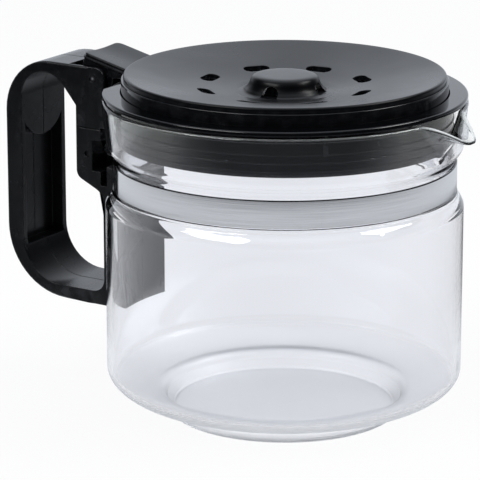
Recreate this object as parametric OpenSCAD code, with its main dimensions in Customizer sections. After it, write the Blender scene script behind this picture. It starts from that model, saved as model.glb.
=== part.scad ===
// Coffee server carafe: a blown glass jug with a pouring lip, a steel band clamped round its neck,
// a handle of two shells, and a hinged lid whose cap screws up and down in a collar.
// Millimetres, +Z up, the spout towards +X, the handle towards -X, the origin in the middle of the base.

/* [Glass jug] */
// Outer radius of the straight glass wall
body_r = 70; // [66:0.5:76]
// Thickness of the blown glass
glass_t = 2.2; // [1.6:0.1:2.8]
// How far the edge of the flat base lies inside the straight wall
foot_inset = 24.2; // [23:0.2:32]
// How much wider the foot is at its top than at its base
foot_flare = 2.6; // [1:0.1:4]
// Height of the foot under the body
foot_h = 7.7; // [6:0.1:12]
// Width of the rounded lower corner of the body
corner_w = 18; // [10:0.5:19]
// Height of the rounded lower corner of the body
corner_h = 10.8; // [8:0.2:16]
// Height of the straight wall
wall_h = 65.2; // [60:0.2:80]
// Height of the shoulder between the wall and the band's groove
shoulder_h = 6.7; // [5:0.1:9]
// Depth of the groove that holds the band
groove_depth = 3.5; // [2:0.1:4]
// Height of the groove
groove_h = 12.2; // [12:0.1:15]
// Height of the neck above the groove
neck_h = 23.4; // [21.4:0.1:24]
// How far the rim flares out past the straight wall
rim_flare = 1.2; // [0.4:0.1:1.4]

/* [Spout] */
// How far the pouring lip reaches past the rim
spout_reach = 12.5; // [9:0.5:16]
// How far the tip of the lip hangs below the rim
spout_drop = 7; // [5:0.1:8]
// Angle from the middle of the spout to where the round rim starts
spout_half_angle = 18; // [14:0.5:22]

/* [Neck band] */
// Height of the steel band
band_h = 10.8; // [9:0.1:11.5]
// Thickness of the steel band
band_t = 0.65; // [0.4:0.05:0.9]
// Length of the ears that stand out at the ends of the band
ear_l = 15; // [13.5:0.5:15.5]

/* [Handle] */
// Width of the handle across its two shells
handle_w = 30; // [28:0.5:34]
// Reach of the grip's outer face from the straight wall
grip_reach = 54.5; // [50:0.5:62]
// Thickness of the grip
grip_t = 8.1; // [7:0.1:10]
// Height of the underside of the handle
handle_bottom = 33; // [28:0.5:36]
// Height of the top of the handle above the hinge pin
cheek_rise = 4.6; // [4:0.1:5.5]
// Thickness of the lower arm
lower_arm_t = 5.4; // [4.5:0.1:7]
// Thickness of the upper arm at the crown of the finger opening
upper_arm_t = 4.6; // [4:0.1:6]
// Wall of the moulded channel in the grip
channel_wall = 2.7; // [2:0.1:3.5]
// Thickness of the two cheeks that carry the hinge
cheek_t = 1.9; // [1.6:0.1:2.4]

/* [Hinge] */
// Distance of the hinge pin from the straight wall
pin_reach = 11.1; // [10:0.1:12.5]
// Height of the hinge pin above the rim of the glass
pin_rise = 0.2; // [0:0.1:0.6]
// Radius of the hinge pin
pin_r = 1.25; // [1:0.05:1.6]
// Radius of the hub that turns on the pin
hub_r = 8; // [6:0.1:8.4]

/* [Lid] */
// How far the collar's flange stands out past the straight wall
flange_over = 1; // [0.2:0.1:2]
// Gap between the collar's skirt and the inside of the neck
skirt_gap = 2.1; // [1.8:0.1:3]
// Thickness of the collar's wall
collar_t = 1.5; // [1.3:0.1:1.8]
// Height of the top of the flange above the rim of the glass
flange_rise = 2.7; // [2.6:0.1:3.2]
// How deep the collar hangs below the top of the flange
collar_depth = 18.4; // [17.5:0.1:19.5]
// How far the cap's rolled lip lies inside the bore of the collar
cap_inset = 1.2; // [0.9:0.1:1.8]
// Height of the top of the cap above the flange
cap_rise = 7.1; // [6.7:0.1:9]
// Depth of the dish in the cap
dish_depth = 7.4; // [5.5:0.1:8]
// Thickness of the cap's walls
cap_t = 1.8; // [1.4:0.1:2.2]
// Number of vents in the dish
vent_count = 8; // [4:1:10]
// Radius of the knob at its shoulder
knob_top_r = 13.2; // [10:0.1:14]
// Radius of the knob at its foot
knob_foot_r = 17.3; // [16:0.1:20]

/* [Hidden] */
$fn = 120;
overrun = 1;
soft_gap = 0.3;
running_fit = 0.05;
press_gap = 0.02;

// Heights of the glass
corner_z = foot_h + corner_h;
wall_top_z = corner_z + wall_h;
groove_z = wall_top_z + shoulder_h;
groove_top_z = groove_z + groove_h;
rim_z = groove_top_z + neck_h;
// Radii of the glass
foot_r = body_r - foot_inset;
groove_r = body_r - groove_depth;
neck_inset = 0.4;
neck_r = body_r - neck_inset;
rim_r = body_r + rim_flare;
neck_step_h = 6;
foot_round = 1.2;
foot_fillet = 2.4;
// Where the hinge pin, the collar and the cap are
pin_s = body_r + pin_reach;
pin_z = rim_z + pin_rise;
collar_r = neck_r - glass_t - skirt_gap;
collar_bore_r = collar_r - collar_t;
barrel_gap = 0.3;
barrel_r = collar_bore_r - barrel_gap;
flange_r = body_r + flange_over;
flange_z = rim_z + flange_rise;
cap_r = collar_bore_r - cap_inset;
cap_top = flange_z + cap_rise;

// Points along an arc
function arc(centre, r, from, to, n) =
    [for (i = [0:n]) let(a = from + (to - from) * i / n) centre + r * [cos(a), sin(a)]];
// A smooth step from 0 to 1
function ease(t) = (1 - cos(180 * t)) / 2;
// A step in radius between two heights, as a smooth curve
function step_curve(r0, z0, r1, z1, n) =
    [for (i = [0:n]) let(t = i / n) [r0 + (r1 - r0) * ease(t), z0 + (z1 - z0) * t]];

// The rounded lower corner, set in by the distance inset from the outer skin
function corner_curve(inset, n) =
    [for (i = [0:n]) let(a = 270 + 90 * i / n)
        [body_r - corner_w + (corner_w - inset) * cos(a), corner_z + (corner_h - inset) * sin(a)]];

// The shoulder curves in and ends in a small ledge under the band
ledge_out = 1;
ledge_h = 0.8;
ledge = [groove_r + ledge_out, groove_z - ledge_h];
shoulder_curve = concat(
    step_curve(body_r, wall_top_z, ledge[0], ledge[1], 10),
    [for (i = [1:3]) step_curve(ledge[0], ledge[1], groove_r, groove_z, 3)[i]]
);

// The outer skin of the jug below the groove, from the middle of the base up
foot_top_r = foot_r + foot_flare;
body_outer = concat(
    [[0, 0]],
    arc([foot_r - foot_round, foot_round], foot_round, 270, 360, 5),
    arc([foot_top_r + foot_fillet, foot_h - foot_fillet], foot_fillet, 180, 90, 6),
    corner_curve(0, 16),
    shoulder_curve
);
// The inner skin, from the shoulder down to the middle of the base
body_inner = concat(
    [for (i = [len(shoulder_curve) - 1:-1:0]) shoulder_curve[i] - [glass_t, 0]],
    [for (i = [16:-1:0]) corner_curve(glass_t, 16)[i]],
    arc([foot_top_r + foot_fillet, foot_h - foot_fillet], foot_fillet + glass_t, 90, 180, 6),
    arc([foot_r - foot_round - glass_t, foot_round + glass_t], foot_round, 360, 270, 5),
    [[0, glass_t]]
);
upright_z = groove_top_z + neck_step_h;
round_z = rim_z - glass_t / 2;
jug_profile = concat(
    body_outer,
    step_curve(groove_r, groove_top_z, neck_r, upright_z, 5),
    arc([rim_r - glass_t / 2, round_z], glass_t / 2, 0, 180, 8),
    [for (p = step_curve(neck_r, upright_z, groove_r, groove_top_z, 5)) p - [glass_t, 0]],
    body_inner
);

// The pouring lip: glass pulled out of the neck into a rounded beak, a wedge whose ridges all run back
// from its nose through the neck, above the edge where it is cut. The inset gives its inner skin.
beak_round = 5.5;
beak_lift = 2;
beak_tip = [rim_r + spout_reach, rim_z - spout_drop];
beak_nose = [beak_tip[0] - sqrt(pow(beak_round, 2) - pow(beak_lift, 2)), 0, beak_tip[1] + beak_lift];
beak_root_rise = 2.4;
beak_root = [neck_r - beak_round, 0, upright_z + beak_root_rise + beak_round];
beak_side_angle = spout_half_angle - asin(beak_round / rim_r);
beak_side_r = rim_r - beak_round;
beak_back_share = 1.5;
function beak_ridge(from) = beak_nose + (from - beak_nose) * beak_back_share;
module beak(inset) {
    hull() {
        translate(beak_nose) sphere(beak_round - inset, $fn = 32);
        translate(beak_ridge(beak_root)) sphere(beak_round - inset, $fn = 32);
        for (side = [-1, 1])
            translate(beak_ridge([
                beak_side_r * cos(beak_side_angle), side * beak_side_r * sin(beak_side_angle),
                rim_z + beak_lift
            ]))
                sphere(beak_round - inset, $fn = 32);
    }
}
// Everything above the beak's edge, which droops from the rim to the tip
beak_edge_steps = 8;
beak_droop = 1.5;
module above_beak() {
    edge_in = rim_r * cos(spout_half_angle);
    edge_l = beak_tip[0] - edge_in;
    rotate([90, 0, 0]) translate([0, 0, -body_r]) linear_extrude(2 * body_r) polygon(concat(
        [for (i = [0:beak_edge_steps]) let(t = i / beak_edge_steps)
            [edge_in + edge_l * t, rim_z - spout_drop * pow(t, beak_droop)]],
        [[beak_tip[0] + overrun, beak_tip[1]], [beak_tip[0] + overrun, rim_z + body_r],
            [0, rim_z + body_r], [0, rim_z]]
    ));
}

module glass_jug() color("LightSteelBlue", 0.45) {
    difference() {
        union() {
            rotate_extrude() polygon(jug_profile);
            difference() {
                beak(0);
                above_beak();
                cylinder(h = rim_z + body_r, r = neck_r - glass_t / 2);
            }
        }
        beak(glass_t);
    }
}

// The band lies in the middle of the groove, and its ears stand out behind it towards the handle
band_z = groove_z + (groove_h - band_h) / 2;
band_mid_z = band_z + band_h / 2;
band_in_r = groove_r + running_fit;
band_r = band_in_r + band_t;
ear_gap = 2.5;
ear_in = ear_gap / 2;
ear_out = ear_in + band_t;
ear_inset = 1.2;
ear_tip = band_in_r + ear_l;
clamp_inset = 3.6;
clamp_s = ear_tip - clamp_inset;
clamp_r = 1.6;
clamp_gap = 0.1;
clamp_bore_r = clamp_r + clamp_gap;
web_t = 2.5;
web_out = ear_out + running_fit + web_t;
head_r = 3;
head_h = 2;
nut_r = 3.2;
nut_h = 2.4;
washer_r = 3.4;
washer_t = 0.6;
seat_w = web_out + washer_t;

// Turns a drawing in distance from the axis and height into the handle's side plane
module side_plane() {
    mirror([1, 0, 0]) rotate([90, 0, 0]) children();
}
// A slab of such a drawing from one width to another on the right of the middle
module side_slab(from, to) {
    translate([0, -from, 0]) side_plane() linear_extrude(to - from) children();
}
module side_bar(s, z, r, from, to) {
    translate([0, -from, 0]) side_plane() translate([s, z, 0]) cylinder(h = to - from, r = r);
}

module band_ear() {
    difference() {
        side_slab(ear_in, ear_out)
            translate([band_in_r, band_z + ear_inset])
                square([ear_l, band_h - 2 * ear_inset]);
        side_bar(clamp_s, band_mid_z, clamp_bore_r, 0, ear_out + overrun);
    }
}

module neck_band() color("Silver") {
    ear_angle = asin(ear_in / band_r);
    rotate([0, 0, 180 + ear_angle])
        rotate_extrude(angle = 360 - 2 * ear_angle)
            translate([band_in_r, band_z]) square([band_t, band_h]);
    band_ear();
    mirror([0, 1, 0]) band_ear();
}

module clamp_screw() color("Gainsboro") {
    difference() {
        side_bar(clamp_s, band_mid_z, head_r, seat_w, seat_w + head_h);
        side_slab(seat_w + head_h / 2, seat_w + head_h + overrun)
            translate([clamp_s, band_mid_z])
                square([2 * head_r + overrun, head_h / 3], center = true);
    }
    side_bar(clamp_s, band_mid_z, clamp_r, -seat_w - nut_h - head_h / 2, seat_w);
}

module clamp_nut() color("Silver") {
    difference() {
        translate([0, seat_w + nut_h, 0]) side_plane()
            translate([clamp_s, band_mid_z, 0]) cylinder(h = nut_h, r = nut_r, $fn = 6);
        side_bar(clamp_s, band_mid_z, clamp_r + running_fit, -seat_w - nut_h - overrun, 0);
    }
}

module clamp_washers() color("DarkGray") {
    for (from = [web_out, -seat_w])
        difference() {
            side_bar(clamp_s, band_mid_z, washer_r, from, from + washer_t);
            side_bar(clamp_s, band_mid_z, clamp_bore_r, from - overrun, from + washer_t + overrun);
        }
}

// The side view of the handle, in distance from the jug's axis and in height
strip_t = 6.4;
strip_s = body_r + strip_t;
saddle_depth = 4;
saddle_s = body_r - saddle_depth;
housing_gap = 5.5;
housing_s = body_r + housing_gap;
housing_l = 13.8;
housing_out = housing_s + housing_l;
grip_out = body_r + grip_reach;
grip_in = grip_out - grip_t;
handle_top = pin_z + cheek_rise;
half_w = handle_w / 2;
lower_bend = 28;
upper_bend = 22;
end_round = 4;
saddle_drop = 1.3;
saddle_top = groove_z - saddle_drop;
handle_outline = concat(
    arc([saddle_s + end_round, handle_bottom + end_round], end_round, 180, 270, 5),
    arc([grip_out - lower_bend, handle_bottom + lower_bend], lower_bend, 270, 360, 14),
    arc([grip_out - upper_bend, handle_top - upper_bend], upper_bend, 0, 90, 12),
    arc([housing_s + end_round, handle_top - end_round], end_round, 90, 180, 6),
    [[housing_s, groove_z + overrun], [saddle_s, saddle_top]]
);
// The finger opening: a crown, a slope behind the hinge, the housing and two lower corners
crown_r = 11.8;
crown_slope = 50;
crown = [grip_in - crown_r, handle_top - upper_arm_t - crown_r];
crown_end = crown + crown_r * [cos(90 + crown_slope), sin(90 + crown_slope)];
shelf_slope = 25;
shelf_rise = 4.4;
shelf_z = wall_top_z + shelf_rise;
shelf_corner = [housing_out - end_round, shelf_z];
shelf_start = shelf_corner + end_round * [cos(shelf_slope - 90), sin(shelf_slope - 90)];
inner_round = 5.5;
nook_s = strip_s + inner_round * (1 - sin(shelf_slope));
nook_z = shelf_start[1] - (shelf_start[0] - nook_s) * tan(shelf_slope) - inner_round * cos(shelf_slope);
floor_z = handle_bottom + lower_arm_t;
bend_ease = 1.9;
inner_bend = lower_bend - grip_t - bend_ease;
finger_opening = concat(
    arc([grip_in - inner_bend, floor_z + inner_bend], inner_bend, 270, 360, 12),
    arc(crown, crown_r, 0, 90 + crown_slope, 14),
    [[housing_out, crown_end[1] - (crown_end[0] - housing_out) * tan(crown_slope)]],
    arc(shelf_corner, end_round, 0, shelf_slope - 90, 5),
    arc([strip_s + inner_round, nook_z], inner_round, 90 + shelf_slope, 180, 5),
    arc([strip_s + inner_round, floor_z + inner_round], inner_round, 180, 270, 6)
);

// The moulded channel on the inside of the grip ends in a round tongue for the finger
channel_half_w = half_w - channel_wall;
tongue_inset = 0.4;
tongue_r = half_w - tongue_inset;
tongue_drop = 3.4;
tongue_z = crown[1] - tongue_drop;
channel_run = 4;
channel_low = floor_z + inner_bend - channel_run;
module grip_channel() {
    translate([-grip_in + overrun, 0, 0]) rotate([0, -90, 0])
        linear_extrude(grip_t - channel_wall + overrun) difference() {
            translate([channel_low, -channel_half_w])
                square([tongue_z - channel_low, 2 * channel_half_w]);
            translate([tongue_z, 0]) circle(tongue_r);
        }
}

// The slot between the cheeks, as wide as the lid's hinge arm needs when it swings
swing_r = 12.9;
swing_low = -22;
slot_half_w = half_w - cheek_t;
hub_gap = 1.6;
slot_floor = pin_z - hub_r - hub_gap;
module hinge_slot() {
    side_slab(-overrun, slot_half_w) polygon(concat(
        [[saddle_s, slot_floor], [pin_s + hub_r - overrun, slot_floor]],
        arc([pin_s, pin_z], swing_r, swing_low, 90, 12),
        [[saddle_s, pin_z + swing_r]]
    ));
}

// The pocket beside the clamp, open towards the jug and to the side
pocket_step = 4;
pocket_depth = 1.9;
pocket_s = housing_s + pocket_depth;
pocket_below = 8.2;
pocket_above = 4.5;
pocket_tall = [band_z - pocket_below, band_z + band_h + pocket_above];
step_below = 2.6;
step_short = 0.8;
pocket_short = [band_z - step_below, band_z + band_h - step_short];
module clamp_pocket() {
    side_slab(web_out, half_w + overrun) {
        translate([housing_s - overrun, pocket_tall[0]])
            square([pocket_s - housing_s + overrun, pocket_tall[1] - pocket_tall[0]]);
        translate([housing_s - overrun, pocket_short[0]])
            square([pocket_step + pocket_s - housing_s + overrun, pocket_short[1] - pocket_short[0]]);
    }
}

shell_pin_inset = 5.3;
shell_pin_s = housing_out - shell_pin_inset;
shell_pin_drop = 1.2;
shell_pin_z = band_mid_z - shell_pin_drop;
shell_pin_r = 1.2;
shell_pin_recess = 1;
seam_w = 0.5;
seam_rise = 3;
seam_z = groove_top_z + seam_rise;
seam_short = 1.8;
module handle_shell() {
    difference() {
        union() {
            side_slab(0, half_w) difference() {
                polygon(handle_outline);
                polygon(finger_opening);
            }
            // The web beside the band's ears reaches to the band
            side_slab(0, web_out) translate([saddle_s, saddle_top])
                square([housing_s - saddle_s + overrun, groove_top_z + overrun - saddle_top]);
        }
        cylinder(h = groove_z - soft_gap, r = body_r + soft_gap);
        translate([0, 0, groove_z - overrun])
            cylinder(h = groove_h + neck_h, r = max(band_r, neck_r) + soft_gap);
        grip_channel();
        hinge_slot();
        clamp_pocket();
        side_slab(-overrun, ear_out + running_fit)
            translate([saddle_s - overrun, band_z])
                square([ear_tip + soft_gap - saddle_s + overrun, band_h]);
        side_bar(clamp_s, band_mid_z, clamp_bore_r, -overrun, half_w);
        side_bar(shell_pin_s, shell_pin_z, shell_pin_r + press_gap, -overrun, half_w + overrun);
        side_bar(pin_s, pin_z, pin_r + press_gap, -overrun, half_w + overrun);
        side_slab(half_w - seam_w, half_w + overrun)
            translate([housing_s - overrun, seam_z])
                square([housing_l - seam_short + overrun, seam_w]);
    }
}
module handle_shell_right() color("DimGray") handle_shell();
module handle_shell_left() color("SlateGray") mirror([0, 1, 0]) handle_shell();

module shell_pin() color("Silver") {
    side_bar(shell_pin_s, shell_pin_z, shell_pin_r, shell_pin_recess - half_w, half_w - shell_pin_recess);
}

pin_recess = 0.4;
module hinge_pin() color("Silver") {
    side_bar(pin_s, pin_z, pin_r, pin_recess - half_w, half_w - pin_recess);
}

// The lid: the plate for the thumb slopes down to the cap and roofs the hinge arm
plate_t = 1.9;
plate_over = 6.9;
plate_out = pin_s + plate_over;
plate_rise = 10;
plate_z = pin_z + plate_rise;
plate_fall = 0.235;
plate_half_w = slot_half_w - soft_gap;
arm_inset = 1;
arm_half_w = plate_half_w - arm_inset;
plate_gap = 0.8;
plate_in = barrel_r + plate_gap;
plate_round = 1.5;
function plate_top(s) = plate_z - (plate_out - s) * plate_fall;
function plate_under(s) = plate_top(s) - plate_t;

module thumb_plate() color("Gray") {
    difference() {
        intersection() {
            side_slab(-plate_half_w, plate_half_w) polygon([
                [collar_bore_r, plate_under(collar_bore_r)], [plate_out, plate_under(plate_out)],
                [plate_out, plate_top(plate_out)], [collar_bore_r, plate_top(collar_bore_r)]
            ]);
            mirror([1, 0, 0]) linear_extrude(plate_z + overrun) polygon(concat(
                [[0, -plate_half_w]],
                arc([plate_out - plate_round, plate_round - plate_half_w], plate_round, 270, 360, 6),
                arc([plate_out - plate_round, plate_half_w - plate_round], plate_round, 0, 90, 6),
                [[0, plate_half_w]]
            ));
        }
        cylinder(h = plate_z + overrun, r = plate_in);
    }
}

// The arm under the plate, its hub round the pin and its foot on the collar
arm_out = plate_out - arm_inset;
rim_clear = 0.9;
arm_low = rim_z + rim_clear;
module hinge_arm() {
    difference() {
        side_slab(-arm_half_w, arm_half_w) polygon(concat(
            [[arm_out, plate_under(arm_out)]],
            arc([pin_s, pin_z], hub_r, 10, -184, 20),
            [[collar_bore_r, arm_low], [collar_bore_r, plate_under(collar_bore_r)]]
        ));
        side_bar(pin_s, pin_z, pin_r + running_fit, -half_w, half_w);
        cylinder(h = plate_z, r = collar_bore_r + collar_t / 2);
    }
}

// The collar: a bored wall under a flange that is cut off straight beside the hinge arm
collar_low = flange_z - collar_depth;
flange_t = 1.8;
flange_drop = 0.8;
flange_cut_in = 3.6;
flange_cut = collar_bore_r - flange_cut_in;
lip_t = 1;
bead_h = 0.5;
bead_w = 0.8;
bead_start = 1.9;
bead_count = 3;
bead_pitch = 3.2;
rib_count = 4;
rib_w = 1.8;
rib_stand = 1.2;
rib_rise = 8.2;
rib_low = collar_low + rib_rise;
module lid_collar() color("DarkSlateGray") {
    difference() {
        rotate_extrude() polygon(concat(
            [[collar_bore_r, flange_z - flange_t]],
            [[flange_r - flange_drop, flange_z - flange_t]],
            arc([flange_r - flange_drop, flange_z - flange_drop], flange_drop, 0, 90, 5),
            [[collar_bore_r, flange_z]]
        ));
        translate([-flange_r - overrun - flange_cut, -flange_r, flange_z - flange_t - overrun])
            cube([flange_r + overrun, 2 * flange_r, flange_t + 2 * overrun]);
    }
    rotate_extrude() polygon([
        [collar_bore_r, flange_z], [collar_bore_r, collar_low + lip_t],
        [collar_bore_r - lip_t, collar_low + lip_t], [collar_bore_r - lip_t, collar_low],
        [collar_r, collar_low], [collar_r, flange_z]
    ]);
    for (i = [0:bead_count - 1])
        translate([0, 0, collar_low + bead_start + bead_pitch * i])
            rotate_extrude() translate([collar_r, 0]) square([bead_h, bead_w]);
    for (i = [0:rib_count - 1])
        rotate([0, 0, 360 * (i + 0.5) / rib_count])
            translate([collar_r - collar_t / 2, -rib_w / 2, rib_low])
                cube([rib_stand + collar_t / 2, rib_w, flange_z - flange_t / 2 - rib_low]);
    hinge_arm();
}

// The cap: a dish with a rolled lip and a knob, plugged into a barrel that screws into the collar
barrel_in = barrel_r - cap_t;
barrel_rise = 5.8;
barrel_low = collar_low + barrel_rise;
lip_h = 2.2;
barrel_top = cap_top - lip_h;
lip_round = 1.1;
spigot_h = 3;
spigot_r = barrel_in - press_gap;
dish_floor = cap_top - dish_depth;
knob_drop = 0.6;
knob_z = cap_top - knob_drop;
lip_w = 2.4;
dish_edge = cap_r - lip_w;
seal_groove_h = 2.2;
seal_rise = 1.4;
seal_groove_z = barrel_low + seal_rise;
seal_depth = 1;
// The dish curves from the knob's foot up to its edge
dish_steps = 10;
dish_power = 1.08;
dish_edge_drop = 0.2;
function dish_z(t) = dish_floor + (dish_depth - dish_edge_drop) * pow(t, dish_power);
function dish_curve(drop) =
    [for (i = [0:dish_steps]) let(t = i / dish_steps)
        [knob_foot_r + (dish_edge - knob_foot_r) * t, dish_z(t) - drop]];

// The knob: a flat top, a rounded shoulder and a flared foot, as shares of its height and width
knob_out_share = [0.5, 0.7, 0.82, 0.91, 0.97, 1, 1, 1, 1, 1];
knob_flare_share = [0, 0, 0, 0, 0, 0.05, 0.17, 0.32, 0.56, 0.8];
knob_fall_share = [0, 0.003, 0.02, 0.07, 0.17, 0.32, 0.5, 0.66, 0.81, 0.93];
knob_steps = len(knob_fall_share);
function knob_curve(top_r, foot_r, top_z, foot_z) =
    [for (i = [0:knob_steps - 1]) [
        top_r * knob_out_share[i] + (foot_r - top_r) * knob_flare_share[i],
        top_z - (top_z - foot_z) * knob_fall_share[i]
    ]];

module dish_shell() {
    rotate_extrude() polygon(concat(
        [[0, knob_z]],
        knob_curve(knob_top_r, knob_foot_r, knob_z, dish_floor),
        dish_curve(0),
        arc([cap_r - lip_round, cap_top - lip_round], lip_round, 90, 0, 6),
        [[cap_r, barrel_top], [spigot_r, barrel_top], [spigot_r, barrel_top - spigot_h]],
        [[spigot_r - cap_t, barrel_top - spigot_h], [spigot_r - cap_t, barrel_top - cap_t / 2]],
        [for (i = [dish_steps - 1:-1:1]) dish_curve(cap_t)[i]],
        [for (i = [knob_steps - 1:-1:1])
            knob_curve(knob_top_r - cap_t, knob_foot_r - cap_t, knob_z - cap_t, dish_floor - cap_t)[i]],
        [[0, knob_z - cap_t]]
    ));
}

module cap_barrel() color("MidnightBlue") {
    rotate_extrude() polygon([
        [barrel_in, barrel_low], [barrel_r, barrel_low],
        [barrel_r, seal_groove_z], [barrel_r - seal_depth, seal_groove_z],
        [barrel_r - seal_depth, seal_groove_z + seal_groove_h], [barrel_r, seal_groove_z + seal_groove_h],
        [barrel_r, barrel_top], [barrel_in, barrel_top]
    ]);
}

vent_l = 10.5;
vent_w = 5.2;
vent_ring_r = 32.2;
vent_turn = 7.5;
module vent_holes() {
    for (i = [0:vent_count - 1])
        rotate([0, 0, vent_turn + 360 * i / vent_count])
            translate([vent_ring_r, 0, dish_floor - cap_t - overrun]) {
                for (side = [-1, 1])
                    translate([0, side * (vent_l - vent_w) / 2, 0])
                        cylinder(h = dish_depth + cap_t, r = vent_w / 2);
                translate([-vent_w / 2, (vent_w - vent_l) / 2, 0])
                    cube([vent_w, vent_l - vent_w, dish_depth + cap_t]);
            }
}

arch_w = 6.4;
arch_h = 3.9;
arch_count = 4;
arch_turn = 9;
arch_rise = 0.4;
arch_depth = 5.2;
arch_in = knob_top_r - arch_depth;
module knob_arches() {
    reach = knob_foot_r - arch_in - cap_t / 3;
    for (i = [0:arch_count - 1])
        rotate([0, 0, arch_turn + 360 * i / arch_count])
            translate([arch_in, 0, dish_floor + arch_rise]) rotate([90, 0, 90]) {
                translate([0, arch_h - arch_w / 2, 0]) cylinder(h = reach, r = arch_w / 2);
                translate([-arch_w / 2, 0, 0]) cube([arch_w, arch_h - arch_w / 2, reach]);
            }
}

module cap_dish() color("DarkSlateBlue") {
    difference() {
        dish_shell();
        vent_holes();
        knob_arches();
    }
}

seal_r = 0.55;
module cap_seal_ring() color("OrangeRed") {
    translate([0, 0, seal_groove_z + seal_groove_h / 2])
        rotate_extrude() translate([barrel_r - seal_depth + running_fit + seal_r, 0]) circle(seal_r, $fn = 24);
}

glass_jug();
neck_band();
clamp_screw();
clamp_nut();
clamp_washers();
handle_shell_right();
handle_shell_left();
shell_pin();
hinge_pin();
lid_collar();
thumb_plate();
cap_seal_ring();
cap_barrel();
cap_dish();
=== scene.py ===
# %% [markdown]
# # A coffee server carafe
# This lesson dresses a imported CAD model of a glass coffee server: a blown jug with a pouring lip, a steel
# band round its neck, a handle of two moulded shells, and a hinged lid with a cap that screws up and down.
# The CAD model is the frame. It says where each part is and how it moves, and Blender adds the looks.
# Outlines are written in millimetres, and MM turns them into Blender's metres.

# %% Load the frame
import math

import bmesh
import bpy
from mathutils import Matrix, Vector


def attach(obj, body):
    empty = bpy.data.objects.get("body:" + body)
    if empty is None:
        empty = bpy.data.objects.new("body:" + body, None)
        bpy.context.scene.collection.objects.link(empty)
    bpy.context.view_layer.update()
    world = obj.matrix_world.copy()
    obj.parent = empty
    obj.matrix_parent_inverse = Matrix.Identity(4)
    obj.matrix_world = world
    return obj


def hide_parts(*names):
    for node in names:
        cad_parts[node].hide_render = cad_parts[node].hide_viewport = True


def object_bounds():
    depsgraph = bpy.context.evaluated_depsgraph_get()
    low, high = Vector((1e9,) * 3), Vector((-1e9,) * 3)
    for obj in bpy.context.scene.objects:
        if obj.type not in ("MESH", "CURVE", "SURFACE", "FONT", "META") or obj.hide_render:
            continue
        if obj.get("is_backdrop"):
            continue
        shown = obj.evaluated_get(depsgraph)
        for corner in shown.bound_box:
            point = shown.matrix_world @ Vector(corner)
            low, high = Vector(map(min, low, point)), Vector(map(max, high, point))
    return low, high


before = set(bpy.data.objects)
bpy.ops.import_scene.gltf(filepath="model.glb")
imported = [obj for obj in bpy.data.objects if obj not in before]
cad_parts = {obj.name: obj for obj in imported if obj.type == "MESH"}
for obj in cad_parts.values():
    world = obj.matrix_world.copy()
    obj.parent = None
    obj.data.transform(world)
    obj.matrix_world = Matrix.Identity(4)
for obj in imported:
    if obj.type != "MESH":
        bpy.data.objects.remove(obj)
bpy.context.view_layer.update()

MM = 0.001


def add_object(name, data):
    """Puts a new object in the scene."""
    made = bpy.data.objects.new(name, data)
    bpy.context.scene.collection.objects.link(made)
    return made


# %% [markdown]
# ## The camera
# A product photograph of a small object is taken with a long lens from well back, so that its far side
# looks hardly smaller than its near side. A short lens close by would fill the frame as well, but it
# would open the lid's ellipse too far. So the camera stands 1.2 m away and looks a little down. It is
# turned slightly to one side, because the jug's middle is right of the picture's middle.

# %% Place the camera
VIEW_AZIMUTH = math.radians(32)
VIEW_ELEVATION = math.radians(15.42)
VIEW_DISTANCE = 1.215
VIEW_TURN = math.radians(0.819)
LENS = 232.1
JUG_MIDDLE = Vector((0, 0, 0.06841))

towards_camera = Vector((
    math.sin(VIEW_AZIMUTH) * math.cos(VIEW_ELEVATION),
    -math.cos(VIEW_AZIMUTH) * math.cos(VIEW_ELEVATION),
    math.sin(VIEW_ELEVATION),
))
picture_right = Vector((math.cos(VIEW_AZIMUTH), math.sin(VIEW_AZIMUTH), 0))
camera = add_object("camera", bpy.data.cameras.new("camera"))
bpy.context.scene.camera = camera
camera.data.lens = LENS
camera.location = JUG_MIDDLE + towards_camera * VIEW_DISTANCE
aim = JUG_MIDDLE - picture_right * VIEW_DISTANCE * math.tan(VIEW_TURN)
camera.rotation_euler = (aim - camera.location).to_track_quat("-Z", "Y").to_euler()
print("camera at", [round(x, 3) for x in camera.location])

# %% [markdown]
# ## Helpers for node trees
# Every finish below is a small tree of shader nodes. Such a tree could be built in the editor, but a
# script can't load it from there. One helper adds a node and fills in its sockets, so that each material
# reads as a short list of what it is made of.

# %% Add and join nodes
def add_node(tree, kind, sockets=None, **settings):
    """Adds a node, sets its options, and fills its sockets with a value or with another node's output."""
    node = tree.nodes.new(kind)
    for name, value in settings.items():
        setattr(node, name, value)
    for name, value in (sockets or {}).items():
        if isinstance(value, bpy.types.NodeSocket):
            tree.links.new(value, node.inputs[name])
        else:
            node.inputs[name].default_value = value
    return node


def add_math(tree, operation, first, second=0.0):
    """One arithmetic node. Each side is a number or another node's output."""
    return add_node(tree, "ShaderNodeMath", {0: first, 1: second}, operation=operation).outputs[0]


def add_vector_math(tree, operation, *vectors):
    """The same for vectors. It gives a number where the operation does, and else a vector."""
    node = add_node(tree, "ShaderNodeVectorMath", dict(enumerate(vectors)), operation=operation)
    return node.outputs["Value" if operation in ("DOT_PRODUCT", "DISTANCE", "LENGTH") else "Vector"]


def add_noise(tree, vector, scale, detail):
    """Soft noise, from 0 to 1."""
    sockets = {"Vector": vector, "Scale": scale, "Detail": detail}
    return add_node(tree, "ShaderNodeTexNoise", sockets).outputs["Fac"]


def add_range(tree, value, from_low, from_high, to_low, to_high):
    """Carries a value from one range to another, and keeps it inside."""
    sockets = {
        "Value": value, "From Min": from_low, "From Max": from_high, "To Min": to_low, "To Max": to_high,
    }
    return add_node(tree, "ShaderNodeMapRange", sockets).outputs["Result"]


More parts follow.
